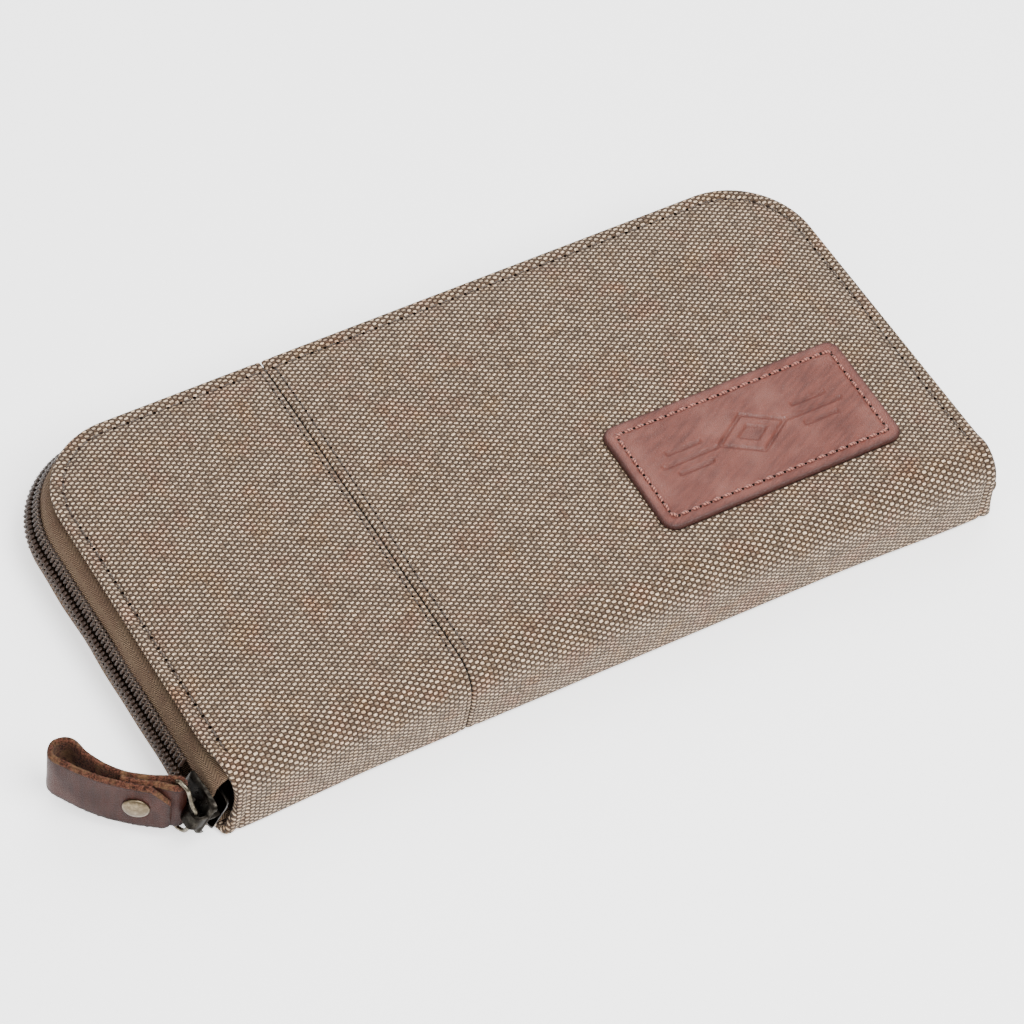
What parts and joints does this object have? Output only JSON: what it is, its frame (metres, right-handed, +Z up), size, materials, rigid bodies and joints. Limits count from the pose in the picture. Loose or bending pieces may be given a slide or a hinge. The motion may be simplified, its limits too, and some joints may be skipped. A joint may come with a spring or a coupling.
{
  "type": "zippered pouch",
  "caption": "Zip-around long canvas wallet with a fold-flat spine, card slots, a coin pocket, a leather label and a leather zip pull.",
  "frame": {"origin": "centre of the flat underside of the closed wallet", "axes": "+X along the spine, the zip's closed end is at -X; +Y from the spine to the long zipped edge; +Z up, out of the lid"},
  "size_m": [0.227, 0.1024, 0.022],
  "materials": {
    "canvas": "coarse plain-weave canvas, taupe with cream and brown threads, matt",
    "zip_tape": "woven herringbone tape, brown",
    "lining": "plain lining cloth, dark brown",
    "board": "stiffener sheet, hidden",
    "leather": "red-brown leather, streaked, burnished edges",
    "pocket_leather": "thin brown leather, fine grain",
    "thread": "waxed brown sewing thread",
    "chain": "dark brown coil, semi-gloss",
    "dark_metal": "aged dark brass, bright worn edges",
    "brass": "antique pale brass, satin"
  },
  "bodies": {
    "base": {"base_canvas_end_panel": "canvas", "base_canvas_main_panel": "canvas", "base_board": "board", "base_lining": "lining", "base_note_pocket": "pocket_leather", "zip_tape_base": "zip_tape", "zip_teeth_base": "chain", "zip_end_stop": "dark_metal", "coin_tape_front": "zip_tape", "coin_tape_back": "zip_tape", "coin_teeth_front": "chain", "coin_teeth_back": "chain", "coin_panel_front": "pocket_leather", "coin_panel_back": "pocket_leather", "coin_end_stop": "dark_metal"},
    "spine": {"spine_canvas_end_panel": "canvas", "spine_canvas_main_panel": "canvas", "spine_lining": "lining"},
    "lid": {"lid_canvas_end_panel": "canvas", "lid_canvas_main_panel": "canvas", "lid_board": "board", "lid_lining": "lining", "lid_note_pocket": "pocket_leather", "zip_tape_lid": "zip_tape", "zip_teeth_lid": "chain", "lid_edge_thread": "thread", "lid_seam_thread_left": "thread", "lid_seam_thread_right": "thread", "label_patch": "leather", "label_thread": "thread", "card_slot_left_1": "pocket_leather", "card_slot_left_2": "pocket_leather", "card_slot_left_3": "pocket_leather", "card_slot_left_4": "pocket_leather", "card_slot_right_1": "pocket_leather", "card_slot_right_2": "pocket_leather", "card_slot_right_3": "pocket_leather", "card_slot_right_4": "pocket_leather"},
    "zip_slider": {"zip_slider_body": "dark_metal", "zip_slider_crown": "dark_metal"},
    "pull_link": {"pull_link": "dark_metal"},
    "pull_tab": {"pull_leather_strap": "leather", "pull_rivet_cap": "brass", "pull_rivet_back": "brass"},
    "coin_slider": {"coin_slider_body": "dark_metal"},
    "coin_puller": {"coin_puller": "dark_metal"}
  },
  "joints": [
    {"name": "spine_fold", "type": "hinge", "parent": "base", "child": "spine", "pos_m": [0, -0.0475, 0.0015], "axis": [1, 0, 0], "range_deg": [0, 89]},
    {"name": "lid_fold", "type": "hinge", "parent": "spine", "child": "lid", "pos_m": [0, -0.0475, 0.0185], "axis": [1, 0, 0], "range_deg": [0, 89]},
    {"name": "zip_slide", "type": "slide", "parent": "base", "child": "zip_slider", "axis": [0, 1, 0], "range_m": [0, 0.06]},
    {"name": "link_swing", "type": "hinge", "parent": "zip_slider", "child": "pull_link", "pos_m": [-0.103, -0.04845, 0.01], "axis": [0, 0, 1], "range_deg": [-3, 60]},
    {"name": "tab_swing", "type": "hinge", "parent": "pull_link", "child": "pull_tab", "pos_m": [-0.10504, -0.0433, 0.01], "axis": [0, 0, 1], "range_deg": [-25, 45]},
    {"name": "coin_zip_slide", "type": "slide", "parent": "base", "child": "coin_slider", "axis": [1, 0, 0], "range_m": [0, 0.145]},
    {"name": "coin_puller_swing", "type": "hinge", "parent": "coin_slider", "child": "coin_puller", "pos_m": [-0.0753, 0.016, 0.0079], "axis": [0, 0, 1], "range_deg": [-90, 90]}
  ]
}
